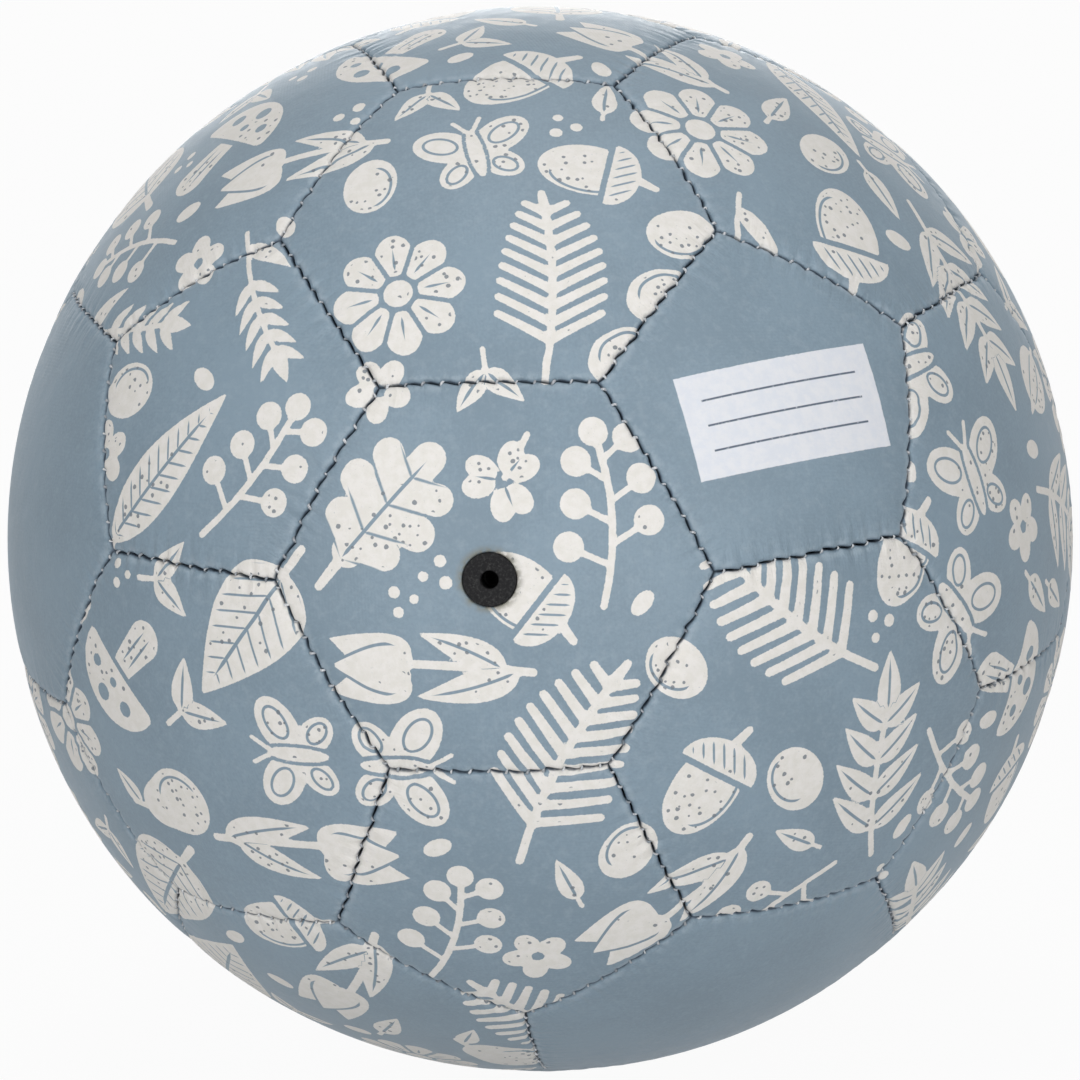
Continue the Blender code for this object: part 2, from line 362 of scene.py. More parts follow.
def tulip(d):
    stem = Stem(d, 26.0, d.chance.uniform(-1.5, 1.5), 0.5, 0.1)
    d.leaf(stem.point(-0.44), 0.45, 12.0, 4.0, bend=2.2)
    d.leaf(stem.point(-0.38), -0.55, 10.5, 3.6, bend=-1.8)
    for lean in (-0.4, 0.4):
        d.leaf((-lean * 0.4, 1.0), lean, 9.8, 6.0, bend=lean * 2.4, rib=0.0, peak=0.5)
    middle = Drawing(d.x, d.y, d.chance)
    middle.leaf((0.0, 1.2), 0.0, 9.2, 5.8, rib=0.0, peak=0.5)
    ink = middle.values["ink"]
    d.add(ink, rib=ink)
    near = (d.y > 2.2) & (np.abs(ink) < 2.0)
    d.values["rib"] = np.where(near, ink, d.values["rib"])
    d.values["rib_half"] = np.where(near, np.minimum(0.2, (d.y - 2.6) * 0.2), d.values["rib_half"])


def mushroom(d):
    cap = np.maximum(d.oval((0.0, 0.6), 7.2, 6.6), 0.4 - d.y)
    d.add(cap)
    d.stroke((-6.2, 1.0), (6.2, 1.0), 1.0)
    for spot in ((-3.3, 3.2, 1.0), (0.6, 5.0, 1.1), (3.8, 2.7, 0.8), (0.1, 2.2, 0.65)):
        d.carve(d.disc(spot[:2], spot[2]))
    stalk = Drawing(d.x, d.y, d.chance)
    stalk.stroke((0.0, -6.8), (0.2, -0.9), 2.5, 1.7)
    ink = np.maximum(stalk.values["ink"], d.y + 0.75)
    half = least(0.16, (-1.8 - d.y) * 0.1, (d.y + 7.6) * 0.1) / 1.3
    d.add(ink, phase=d.x / 1.3, line_half=np.where(np.abs(d.x) < 1.4, half, no_line))


def daisy(d):
    petals = int(d.chance.integers(8, 11))
    u, v = d.spread(petals)
    ink = np.maximum(flat_oval(u - 5.3, v, 2.9, 2.3), np.abs(v) - (u * tan(pi / petals) - 0.32))
    half = least(0.18, (u - 3.2) * 0.3, (6.2 - u) * 0.1)
    d.add(ink, rib=v, rib_half=np.where(np.abs(v) < 0.6, half, no_line))
    d.add(d.disc((0.0, 0.0), 1.8))


def acorn(d):
    nut = np.maximum(d.oval((0.0, -0.8), 4.1, 6.3), d.y - 1.0)
    light = d.oval((0.8, -0.8), 2.8, 4.7)
    d.add(nut, rib=light, rib_half=np.where(d.x > 0.6, np.minimum(0.19, (d.x - 1.0) * 0.3), no_line))
    cap = np.maximum(d.oval((0.0, 1.9), 5.1, 3.7), 1.75 - d.y)
    half = np.minimum(0.16, -(cap + 0.5) * 0.4) / 1.5
    d.add(cap, phase=(d.x + d.y * 0.7) / 1.5, line_half=half)
    d.stroke((0.0, 5.2), (0.7, 7.6), 0.65, 0.5)


def pear(d):
    low, high = d.disc((0.0, -2.1), 4.7), d.disc((-0.3, 2.7), 2.6)
    share = np.clip(0.5 + 0.5 * (high - low) / 3.0, 0, 1)
    light = d.disc((0.0, -2.1), 3.5)
    half = np.where(d.x > 0.5, np.minimum(0.19, (d.x - 1.2) * 0.3), no_line)
    d.add(high + (low - high) * share - 3.0 * share * (1 - share), rib=light, rib_half=half)
    d.stroke((-0.4, 5.0), (0.3, 7.6), 0.42)
    d.leaf((0.1, 6.2), -1.1, 5.4, 2.9)


def berries(d):
    stem = Stem(d, 19.5, 1.5, 0.4, 0.38)
    for index, base in enumerate(stem.points(-0.28, 0.3, 6)):
        side = 1 if index % 2 else -1
        tip = (base[0] + side * (4.4 - 0.3 * index), base[1] + 2.3)
        d.stroke(base, tip, 0.34)
        d.add(d.disc(tip, 1.65))
    d.add(d.disc(stem.point(0.46), 1.6))


def herb(d):
    stem = Stem(d, 24.0, 1.2, 0.36, 0.36)
    for base in stem.points(-0.14, 0.32, 5):
        for side in (-1, 1):
            d.leaf(base, side * 0.85, 5.0, 1.6, bend=side * 0.4, rib=0.0)
    d.leaf(stem.point(0.35), 0.0, 4.6, 2.2, rib=0.0)
    d.leaf(stem.point(-0.4), 0.8, 8.5, 2.6, bend=1.4, rib=0.0)


def butterfly(d):
    x = np.abs(d.x)
    for centre, wide, high, turn in (((3.6, 2.4), 4.1, 2.7, 0.6), ((2.7, -2.6), 3.0, 2.1, -0.75)):
        u, v = turned(x - centre[0], d.y - centre[1], turn)
        ink = flat_oval(u, v, wide, high)
        inner = flat_oval(u - 0.5, v, wide * 0.55, high * 0.5)
        d.add(ink, rib=inner, rib_half=np.where(ink < -0.4, 0.19, no_line))
    body = flat_oval(d.x, d.y, 0.95, 4.3)
    d.carve(body - 0.5)
    d.add(body)
    for side in (-1, 1):
        d.stroke((side * 0.3, 3.9), (side * 1.7, 6.4), 0.3)


def gooseberry(d):
    ink = d.oval((0.0, 0.0), 3.9, 4.6)
    half_width = 3.9 * np.sqrt(np.clip(1 - (d.y / 4.6) ** 2, 0.05, 1))
    bow = np.clip(d.x / half_width, -1.2, 1.2)
    half = np.minimum(0.13, -(ink + 0.6) * 0.2) / half_width * 1.6
    d.add(ink, phase=bow * 1.6, line_half=half)
    d.stroke((0.0, 4.6), (0.3, 6.2), 0.4)
    d.stroke((0.0, -4.7), (0.0, -5.8), 0.6, 0.3)


def pebble(d):
    ink = d.oval((0.0, 0.0), 3.6, 4.6)
    light = d.oval((0.4, -0.4), 2.4, 3.3)
    d.add(ink, rib=light, rib_half=np.where(d.x > 0.0, np.minimum(0.18, (d.x - 0.6) * 0.3), no_line))


def clover(d):
    u, v = d.spread(3, lean=pi / 2)
    out, side = u - 2.7, np.abs(v) - 1.0
    ink = flat_oval(out * 0.94 + side * 0.34, side * 0.94 - out * 0.34, 2.0, 1.5)
    half = least(0.18, (u - 0.6) * 0.3, (3.2 - u) * 0.15)
    d.add(ink, rib=v, rib_half=np.where(np.abs(v) < 0.6, half, no_line))
    d.stroke((0.0, -0.4), (1.2, -6.0), 0.4)


def leaf_pair(d):
    d.stroke((0.0, -4.6), (0.0, 0.4), 0.36, 0.3)
    for side in (-1, 1):
        d.leaf((0.0, -1.6), side * 0.75, 6.6, 3.2)


def small_flower(d):
    u, v = d.spread(5)
    d.add(flat_oval(u - 2.3, v, 1.7, 1.4))
    d.carve(d.disc((0.0, 0.0), 0.7))


def small_leaf(d):
    d.leaf((0.0, -3.2), 0.0, 7.4, 3.3)
    d.stroke((0.0, -4.6), (0.0, -2.8), 0.34, 0.28)


def seed(d):
    d.add(d.oval((0.0, 0.0), 1.15, 1.9))


def three_dots(d):
    for centre, radius in (((0.0, 1.3), 0.7), ((-1.3, -0.9), 0.6), ((1.3, -0.8), 0.75)):
        d.add(d.disc(centre, radius))


# Motifs of one size, how far they reach, share of dots, how many are wanted
motif_sizes = [
    ((sprig, fern, broad_leaf, tulip, long_leaf), 15.5, 0.45, 52),
    ((mushroom, daisy, acorn, pear, oak_leaf, berries, butterfly, herb), 13.0, 0.75, 130),
    ((gooseberry, clover, leaf_pair, pebble, small_leaf, small_flower), 7.0, 0.8, 170),
    ((seed, three_dots), 2.5, 0.0, 70),
]
motif_scale = (0.98, 1.2)
motif_margin = 0.6
tries_for_each = 110
print_samples = 30000


def fibonacci_ball(count):
    index = np.arange(count) + 0.5
    height = 1 - 2 * index / count
    turn = pi * (1 + sqrt(5)) * index
    flat = np.sqrt(1 - height ** 2)
    return np.stack([flat * np.cos(turn), flat * np.sin(turn), height], 1)


def tangent_places(directions, centre, right, up):
    # Millimetres right and up of a motif's centre, measured over the ball.
    across, above, ahead = directions @ right, directions @ up, directions @ centre
    flat = np.maximum(np.hypot(across, above), 1e-9)
    spread = ball_radius * np.arctan2(flat, ahead) / flat
    return across * spread, above * spread


def draw_motif(motif, x, y, size, seed_number):
    drawing = Drawing(x / size, y / size, np.random.default_rng(seed_number))
    motif(drawing)
    values = drawing.values
    return {**values, "ink": values["ink"] * size, "rib": values["rib"] * size}


def try_place(motif, reach, samples, field, chance):
    # A random place and turn for a motif, or nothing if other ink is too near.
    centre = chance.normal(size=3)
    centre /= np.linalg.norm(centre)
    turn = chance.uniform(-pi, pi)
    seed_number = int(chance.integers(1 << 30))
    size = chance.uniform(*motif_scale)
    facing = samples @ centre
    if field[facing.argmax()] < ink_gap:
        return None
    near = np.nonzero(facing > cos((reach * size + no_ink) / ball_radius))[0]
    side = np.cross((0.0, 0.0, 1.0), centre)
    side /= max(np.linalg.norm(side), 1e-9)
    right = cos(turn) * side + sin(turn) * np.cross(centre, side)
    up = np.cross(centre, right)
    x, y = tangent_places(samples[near], centre, right, up)
    ink = draw_motif(motif, x, y, size, seed_number)["ink"]
    inside = ink < motif_margin
    if not inside.any() or field[near][inside].min() < ink_gap + motif_margin:
        return None
    field[near] = np.minimum(field[near], ink)
    return motif, centre, right, up, size, reach, seed_number


def place_motifs():
    chance = np.random.default_rng(print_seed)
    samples = fibonacci_ball(print_samples)
    field = np.full(len(samples), no_ink)
    placed = []
    for motifs, reach, dots, wanted in motif_sizes:
        for index in range(wanted):
            for _ in range(tries_for_each):
                found = try_place(motifs[index % len(motifs)], reach, samples, field, chance)
                if found:
                    placed.append(found + (dots,))
                    break
    return placed


def print_values(directions, placed):
    values = {kind: np.full(len(directions), value) for kind, value in Drawing.blank.items()}
    values["dots"] = np.zeros(len(directions))
    for motif, centre, right, up, size, reach, seed_number, share in placed:
        near = np.nonzero(directions @ centre > cos((reach * size + 1.0) / ball_radius))[0]
        if not len(near):
            continue
        x, y = tangent_places(directions[near], centre, right, up)
        own = draw_motif(motif, x, y, size, seed_number)
        own["dots"] = share * np.clip((x * 0.8 - y * 0.6) / reach * 1.6 + 0.5, 0, 1)
        closer = own["ink"] < values["ink"][near]
        for kind, value in own.items():
            values[kind][near] = np.where(closer, value, values[kind][near])
    return values


# Panels
def corner_angles(sides):
    return [pi / 2 + (j + 0.5) * tau / sides for j in range(sides)]


def polygon_rows(sides, rows):
    # Rows of a triangle grid over a polygon whose sides are 1 away from its middle.
    corners = [np.array((cos(a), sin(a))) / cos(pi / sides) for a in corner_angles(sides)]
    found = [np.zeros((1, 2))]
    for row in range(1, rows + 1):
        share = np.arange(row)[:, None] / row
        found.append(np.concatenate([corners[j] * (1 - share) + corners[(j + 1) % sides] * share
                                     for j in range(sides)]))
    return found


def grid_faces(sides, rows, first_row, border_rows):
    starts = {}
    count = 0
    for row in range(first_row, rows + border_rows + 1):
        starts[row] = count
        count += max(sides * min(row, rows), 1)

    def at(row, side, index):
        length = sides * min(row, rows)
        return starts[row] + ((side * min(row, rows) + index) % length if length else 0)

    faces = []
    for row in range(first_row + 1, rows + 1):
        for side in range(sides):
            for i in range(row):
                faces.append((at(row, side, i), at(row, side, i + 1), at(row - 1, side, i)))
                if i:
                    faces.append((at(row - 1, side, i - 1), at(row, side, i), at(row - 1, side, i)))
    for row in range(rows + 1, rows + border_rows + 1):
        for side in range(sides):
            for i in range(rows):
                faces.append((at(row, side, i), at(row, side, i + 1),
                              at(row - 1, side, i + 1), at(row - 1, side, i)))
    return faces


def unit(vectors):
    return vectors / np.linalg.norm(vectors, axis=-1)[..., None]


def polygon_facts(sides):
    # Height of the plane through the corners, distance and angle to a side's middle, and corner directions.
    corner = seam_edge / (2 * sin(pi / sides))
    plane = sqrt(ball_radius ** 2 - corner ** 2)
    apothem = corner * cos(pi / sides)
    tips = [np.array((corner * cos(a), corner * sin(a), plane)) / ball_radius for a in corner_angles(sides)]
    return plane, apothem, atan2(apothem, plane), tips


def panel_places(sides, with_hole):
    # Flat places in shares of the distance to a side, the fold's turn, the wall's depth, and the faces.
    rows = side_stitches * stitch_segments
    span = polygon_facts(sides)[2]
    inner_span = span - (fold_radius + half_gap_closed) / ball_radius
    first_row = hole_first_row if with_hole else 0
    grid = polygon_rows(sides, rows)
    flat, folds, walls = [], [], []

    def put(places, fold, wall):
        flat.append(places)
        folds.append(np.full(len(places), fold))
        walls.append(np.full(len(places), wall))

    for row in range(first_row, rows + 1):
        places = grid[row] * tan(inner_span * row / rows) / tan(span)
        if with_hole:
            blend = min((row - first_row) / hole_blend_rows, 1.0)
            blend = blend * blend * (3 - 2 * blend)
            ring_angle = (hole_radius + hole_round) / ball_radius + inner_span * (row - first_row) / rows
            places = places * blend + unit(grid[row]) * tan(ring_angle) / tan(span) * (1 - blend)
        put(places, 0.0, 0.0)
    for step in range(1, fold_steps + 1):
        turn = pi / 2 * step / fold_steps
        angle = span - (half_gap_closed + fold_radius * (1 - sin(turn))) / ball_radius
        put(grid[-1] * tan(angle) / tan(span), turn, 0.0)
    edge = grid[-1] * tan(span - half_gap_closed / ball_radius) / tan(span)
    for wall in wall_depths:
        put(edge, pi / 2, wall)
    faces = grid_faces(sides, rows, first_row, fold_steps + len(wall_depths))
    return np.concatenate(flat), np.concatenate(folds), np.concatenate(walls), faces, sides * first_row


def seam_facts(along, sides, chance):
    # For every place: distance to the nearest seam, stitches from its end, pinch of the stitches, way
    # from the seam, shift that way by the slanted stitches, and wrinkles with a dip at the corner.
    tips = polygon_facts(sides)[3]
    seams, runs, normals = [], [], []
    for start, end in zip(tips, tips[1:] + tips[:1]):
        normal = unit(np.cross(start, end))
        seams.append(ball_radius * np.arcsin(np.clip(along @ normal, -1, 1)))
        runs.append(ball_radius * np.arctan2(along @ unit(end - start), along @ unit(start + end)))
        normals.append(normal)
    nearest = np.argmin(seams, axis=0)
    pick = (nearest, np.arange(len(along)))
    seam, run = np.array(seams)[pick], np.array(runs)[pick]
    stitch = np.maximum(seam_arc / 2 - np.abs(run), 0) / (seam_arc / side_stitches)
    holes = (run / seam_arc + 0.5) * side_stitches - stagger
    pull = chance.uniform(*pull_range, (sides, side_stitches))
    pull = pull[nearest, np.clip(holes.astype(int), 0, side_stitches - 1)]
    pinch = pull * np.exp(-((np.mod(holes, 1.0) - 0.5) / dip_width) ** 2) * np.clip(stitch / widening, 0, 1)
    phase = chance.uniform(0, tau, (sides, len(wrinkle_lengths)))[nearest]
    wrinkle = sum(np.sin(tau * run / length + phase[:, k]) for k, length in enumerate(wrinkle_lengths))
    corner = ball_radius * np.arccos(np.clip(np.max([along @ tip for tip in tips], axis=0), -1, 1))
    dents = wrinkle_depth * wrinkle / len(wrinkle_lengths) * np.exp(-seam / wrinkle_reach)
    dents += corner_depth * np.exp(-corner / corner_reach)
    after = np.mod((run / seam_arc + 0.5) * side_stitches - 0.5, 1.0)
    slant = slant_depth * (1 - 2 * after) * np.clip(np.minimum(after, 1 - after) / slant_turn, 0, 1)
    slant *= np.clip(stitch / slanting, 0, 1) * np.exp(-seam / slant_reach)
    return seam, stitch, pinch, np.array(normals)[nearest], slant, dents


def panel_shape(sides, with_hole, chance):
    # Directions and depths of a panel's points, its faces, and facts for its finish.
    plane, apothem = polygon_facts(sides)[:2]
    flat, fold, wall, faces, around = panel_places(sides, with_hole)
    along = unit(np.column_stack([flat * apothem, np.full(len(flat), plane)]))
    seam, stitch, pinch, normal, slant, dents = seam_facts(along, sides, chance)
    away = np.clip(stitch / widening, 0, 1)
    opening = (half_gap_open - half_gap_closed) * np.maximum(1 - pinch, 0) * away
    shift = opening * np.clip(1 - (seam - half_gap_closed) / gap_reach, 0, 1) + slant
    along = unit(along + normal * shift[:, None] / ball_radius)
    depth = fold_radius * (1 - np.cos(fold)) + wall + roll_depth * np.exp(-seam / roll_width)
    depth += edge_depth * np.exp(-seam / edge_width)
    depth += pucker_depth * (pinch - pucker_lift * away) * np.exp(-seam / pucker_reach) + dents
    facts = {"seam": seam, "stitch": stitch, "pinch": pinch, "hole": np.full(len(along), far_from_hole)}
    if with_hole:
        along, depth, faces, facts = round_hole(along, depth, faces, facts, around)
    return along, depth, faces, facts


def round_hole(along, depth, faces, facts, around):
    # The rim of the valve's hole rolls in and goes down as a short wall.
    facts["hole"] = ball_radius * np.hypot(along[:, 0], along[:, 1]) - hole_radius
    depth = depth + hole_sink * np.exp(-np.maximum(facts["hole"] - hole_round, 0) / hole_sink_reach)
    turns = [pi / 2 * k / hole_steps for k in range(1, hole_steps + 1)]
    profile = [(hole_round * (1 - sin(t)), hole_round * (1 - cos(t))) for t in turns]
    profile += [(0.0, hole_round + wall) for wall in hole_walls]
    heading = unit(along[:around, :2])
    rings = [np.arange(around)]
    more, deeper = [], []
    for k, (out, below) in enumerate(profile):
        angle = (hole_radius + out) / ball_radius
        more.append(np.column_stack([heading * sin(angle), np.full(around, cos(angle))]))
        deeper.append(depth[:around] + below)
        rings.append(len(along) + around * k + np.arange(around))
    for outer, inner in zip(rings, rings[1:]):
        faces += [(int(outer[i]), int(outer[(i + 1) % around]), int(inner[(i + 1) % around]), int(inner[i]))
                  for i in range(around)]
    count = around * len(profile)
    added = {"seam": np.full(count, far_from_seam), "hole": np.repeat([out for out, _ in profile], around)}
    facts = {fact: np.append(values, added.get(fact, np.zeros(count))) for fact, values in facts.items()}
    return np.concatenate([along] + more), np.concatenate([depth] + deeper), faces, facts


def add_attribute(mesh, name, values):
    layer = mesh.attributes.new(name, 'FLOAT', 'POINT')
    layer.data.foreach_set("value", np.ascontiguousarray(values, dtype=np.float32))


def add_object(name, data):
    thing = bpy.data.objects.new(name, data)
    bpy.context.scene.collection.objects.link(thing)
    return thing


def make_piece(name, places, faces, material, node):
    # Places are in millimetres. The piece stands in for one node of the part.
    mesh = bpy.data.meshes.new(name)
    mesh.from_pydata((places * metres).tolist(), [], faces)
    mesh.shade_smooth()
    mesh.materials.append(material)
    piece = add_object(name, mesh)
    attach(piece, "root")
    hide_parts(node)
    return mesh


def sway(directions):
    # A slight drift of the seams in millimetres, the same for all pieces at one place.
    chance = np.random.default_rng(sway_seed)
    drift = np.zeros_like(directions)
    for length in sway_lengths:
        for _ in range(3):
            wave = unit(chance.normal(size=3)) * tau * ball_radius / length
            swing = np.sin(directions @ wave + chance.uniform(0, tau))
            drift += np.outer(swing, chance.normal(size=3))
    drift -= directions * np.sum(directions * drift, axis=1)[:, None]
    return drift * sway_depth / sqrt(3 * len(sway_lengths))


def make_panels(placed):
    finishes = {kind: sheet_material(kind) for kind in ("printed", "plain", "labelled")}
    chance = np.random.default_rng(panel_seed)
    right, up, out = np.eye(3)
    for name, sides, turn in panel_list():
        along, depth, faces, facts = panel_shape(sides, name == valve_panel, chance)
        directions = along @ turn.T
        places = directions * (sheet_radius - depth)[:, None]
        places += sway(directions) * np.exp(-facts["seam"] / sway_reach)[:, None]
        places[:, 2] = np.maximum(places[:, 2] + centre_height, 0.0)
        x, y = tangent_places(along, out, right, up)
        lean = chance.uniform(-weave_lean, weave_lean) + (pi / 2 if chance.uniform() > weave_along else 0.0)
        facts["across"] = x * cos(lean) - y * sin(lean)
        facts["rows"] = x * sin(lean) + y * cos(lean)
        facts["own"] = np.full(len(x), chance.uniform(-1, 1))
        kind = "labelled" if name == label_panel else "plain" if name in plain_panels else "printed"
        if kind == "labelled":
            facts["label_x"], facts["label_y"] = -x - label_centre[0], -y - label_centre[1]
        if kind == "printed":
            facts.update(print_values(directions, placed))
        mesh = make_piece(name + "_sheet", places, faces, finishes[kind], name)
        for fact, values in facts.items():
            add_attribute(mesh, fact, values)


def seam_lines():
    # Both ends of every seam, as directions from the ball's centre.
    ends = {}
    for name, sides, turn in panel_list():
        tips = [turn @ tip for tip in polygon_facts(sides)[3]]
        for start, end in zip(tips, tips[1:] + tips[:1]):
            ends.setdefault(tuple(np.round((start + end) * 1000).astype(int)), (start, end))
    return list(ends.values())


def rung_shape():
    # One stitch: a short bridge of thread along x, with its ends bent down.
    around, steps = rung_around, rung_steps
    points = []
    for share in np.linspace(-1, 1, steps):
        thick = rung_radius * (1 - 0.25 * abs(share) ** 3)
        for i in range(around):
            turn = tau * i / around
            points.append((rung_half * share, thick * cos(turn),
                           thick * sin(turn) - rung_drop * abs(share) ** 2.2))
    faces = [(k * around + i, k * around + (i + 1) % around, (k + 1) * around + (i + 1) % around,
              (k + 1) * around + i) for k in range(steps - 1) for i in range(around)]
    faces += [tuple(range(around))[::-1], tuple((steps - 1) * around + i for i in range(around))]
    return np.array(points), faces


def make_stitches():
    chance = np.random.default_rng(stitch_seed)
    rung, rung_faces = rung_shape()
    places, faces, shades = [], [], []
    for start, end in seam_lines():
        whole = acos(float(np.clip(start @ end, -1, 1)))
        normal = unit(np.cross(start, end))
        slant, sink, tone = [chance.uniform(*span) for span in (seam_lean, seam_sink, seam_tone)]
        for index in range(side_stitches):
            share = (index + 0.5 + chance.uniform(*stitch_shift)) / side_stitches
            out = (start * sin((1 - share) * whole) + end * sin(share * whole)) / sin(whole)
            lean = rung_lean + slant + chance.uniform(*stitch_lean)
            across = normal * cos(lean) + np.cross(normal, out) * sin(lean)
            size = chance.uniform(*stitch_size)
            middle = out * (sheet_radius - rung_top - sink - rung_radius + chance.uniform(*stitch_rise))
            middle += sway(out[None])[0]
            faces += [tuple(len(places) * len(rung) + i for i in face) for face in rung_faces]
            places.append(middle + rung[:, :1] * size * across + rung[:, 1:2] * size * np.cross(out, across)
                          + rung[:, 2:] * out)
            # The stitch's share of lit thread; the rest is painted shade
            shades.append(np.full(len(rung), np.clip(tone + chance.uniform(*stitch_tone), 0, 1)))
    places = np.concatenate(places) + np.array((0.0, 0.0, centre_height))
    mesh = make_piece("seam_stitches", places, faces, thread_material(), "seam_thread")
    add_attribute(mesh, "shade", np.concatenate(shades))


def arc_points(centre, radius, first_angle, last_angle, steps=6):
    angles = np.linspace(first_angle, last_angle, steps)
    return [(centre[0] + radius * cos(a), centre[1] + radius * sin(a)) for a in angles]


def make_valve():
    # Nose, flange and stem, turned from a closed outline of radius and height.
    turn = [turn for name, sides, turn in panel_list() if name == valve_panel][0]
    outline = arc_points((mouth_radius + mouth_edge, nose_top - mouth_edge), mouth_edge, pi, pi / 2)
    outline += arc_points((nose_radius - nose_edge, nose_top - nose_edge), nose_edge, pi / 2, 0.0)
    outline = (outline + valve_profile)[::-1]
    count = len(outline)
    places, faces = [], []
    for k in range(valve_segments):
        angle = tau * k / valve_segments
        after = (k + 1) % valve_segments * count
        places += [(out * cos(angle), out * sin(angle), height) for out, height in outline]
        faces += [(k * count + i, k * count + (i + 1) % count, after + (i + 1) % count, after + i)
                  for i in range(count)]
    places = np.array(places) @ turn.T + np.array((0.0, 0.0, centre_height))
    material = rubber_material("charcoal_rubber", *valve_colours)
    make_piece("valve_rubber", places, faces, material, "valve_body")


def dress_hidden_pieces():
    finishes = {
        "bladder": rubber_material("black_bladder", *bladder_colours),
        "valve_core": rubber_material("black_core", *core_colours),
        "valve_patch": cloth_material(),
    }
    for node, material in finishes.items():
        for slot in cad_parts[node].material_slots:
            slot.material = material


# Materials: a short way to write node graphs, in millimetres
border_half = 0.05


class Graph:
    def __init__(self, name):
        self.material = bpy.data.materials.new(name)
        self.material.use_nodes = True
        self.nodes = self.material.node_tree.nodes
        self.links = self.material.node_tree.links
        self.shader = self.nodes["Principled BSDF"]
        self.place = self.object_place()

    def put(self, socket, value):
        if isinstance(value, bpy.types.NodeSocket):
            self.links.new(value, socket)
        elif value is not None:
            socket.default_value = value

    def math(self, operation, *values):
        node = self.nodes.new("ShaderNodeMath")
        node.operation = operation
        for socket, value in zip(node.inputs, values):
            self.put(socket, value)
        return node.outputs[0]

    def product(self, first, *others):
        for other in others:
            first = self.math('MULTIPLY', first, other)
        return first

    def total(self, *parts):
        # The sum of pairs of a value and its weight.
        found = 0.0
        for value, weight in parts:
            found = self.math('MULTIPLY_ADD', value, weight, found)
        return found

    def ramp(self, value, low, high, to_low=0.0, to_high=1.0):
        node = self.nodes.new("ShaderNodeMapRange")
        node.interpolation_type = 'SMOOTHSTEP'
        for key, item in (("Value", value), ("From Min", low), ("From Max", high),
                          ("To Min", to_low), ("To Max", to_high)):
            self.put(node.inputs[key], item)
        return node.outputs["Result"]

    def mix(self, share, first, second):
        node = self.nodes.new("ShaderNodeMix")
        node.data_type = 'RGBA'
        inputs, outputs = [[s for s in sockets if s.type == 'RGBA'] for sockets in (node.inputs, node.outputs)]
        self.put(node.inputs[0], share)
        for socket, value in zip(inputs, (first, second)):
            self.put(socket, linear(value) if isinstance(value, tuple) else value)
        return outputs[0]

    def fact(self, name):
        node = self.nodes.new("ShaderNodeAttribute")
        node.attribute_name = name
        return node.outputs["Fac"]

    def object_place(self):
        node = self.nodes.new("ShaderNodeVectorMath")
        node.operation = 'SCALE'
        node.inputs["Scale"].default_value = 1 / metres
        self.links.new(self.nodes.new("ShaderNodeTexCoord").outputs["Object"], node.inputs[0])
        return node.outputs[0]

    def join(self, x, y, z=0.0):
        node = self.nodes.new("ShaderNodeCombineXYZ")
        for socket, value in zip(node.inputs, (x, y, z)):
            self.put(socket, value)
        return node.outputs[0]

    def border(self, value, where):
        # 1 below a value and 0 above it.
        return self.ramp(value, where - border_half, where + border_half, 1.0, 0.0)

    def noise(self, scale, detail=2.0, roughness=0.5, place=None):
        node = self.nodes.new("ShaderNodeTexNoise")
        self.put(node.inputs["Vector"], self.place if place is None else place)
        node.inputs["Scale"].default_value = scale
        node.inputs["Detail"].default_value = detail
        node.inputs["Roughness"].default_value = roughness
        return node.outputs["Fac"]

    def bump(self, height):
        node = self.nodes.new("ShaderNodeBump")
        node.inputs["Strength"].default_value = 1.0
        node.inputs["Distance"].default_value = metres
        self.put(node.inputs["Height"], height)
        return node.outputs["Normal"]

    def finish(self, colour, roughness, normal, specular=0.5):
        self.put(self.shader.inputs["Base Color"], colour)
        self.put(self.shader.inputs["Roughness"], roughness)
        self.put(self.shader.inputs["Normal"], normal)
        self.shader.inputs["Specular IOR Level"].default_value = specular
        return self.material


def add_print(g, dust, sheet):
    # Its edge is a little rough, lines and specks are left bare, and it is worn in places.
    ink = g.fact("ink")
    edge = g.total((g.noise(3.0, 2.0), 0.2), (ink, 1.0))
    inked = g.ramp(edge, 0.05, 0.15, 1.0, 0.0)
    rib = g.math('SUBTRACT', g.math('ABSOLUTE', g.fact("rib")), g.fact("rib_half"))
    inked = g.product(inked, g.ramp(rib, -0.04, 0.05))
    phase = g.math('ABSOLUTE', g.math('SUBTRACT', g.math('FRACT', g.fact("phase")), 0.5))
    inked = g.product(inked, g.ramp(g.math('SUBTRACT', phase, g.fact("line_half")), -0.02, 0.03))

    flat = g.join(g.fact("across"), g.fact("rows"))
    cells = g.nodes.new("ShaderNodeTexVoronoi")
    cells.voronoi_dimensions = '2D'
    cells.inputs["Scale"].default_value = 0.78
    cells.inputs["Randomness"].default_value = 0.85
    g.put(cells.inputs["Vector"], flat)
    chance = g.nodes.new("ShaderNodeSeparateColor")
    g.links.new(cells.outputs["Color"], chance.inputs["Color"])
    present = g.math('LESS_THAN', chance.outputs[0], g.fact("dots"))
    size = g.math('MULTIPLY_ADD', chance.outputs[1], 0.14, 0.11)
    rough = g.math('MULTIPLY_ADD', g.noise(2.6, 1.0), 0.14, cells.outputs["Distance"])
    dot = g.ramp(g.math('SUBTRACT', rough, size), 0.04, 0.10, 1.0, 0.0)
    dot = g.product(dot, present, g.ramp(ink, -0.6, -0.45, 1.0, 0.0))
    pores = g.ramp(g.noise(4.0, 3.0, 0.7), 0.64, 0.74, 0.0, 0.5)
    inked = g.product(inked, g.math('SUBTRACT', 1.0, pores))
    cream = g.mix(g.ramp(dust, 0.35, 0.65), thin_ink_colour, ink_colour)
    return g.mix(g.product(dot, 0.85), g.mix(inked, sheet, cream), speck_colour), inked


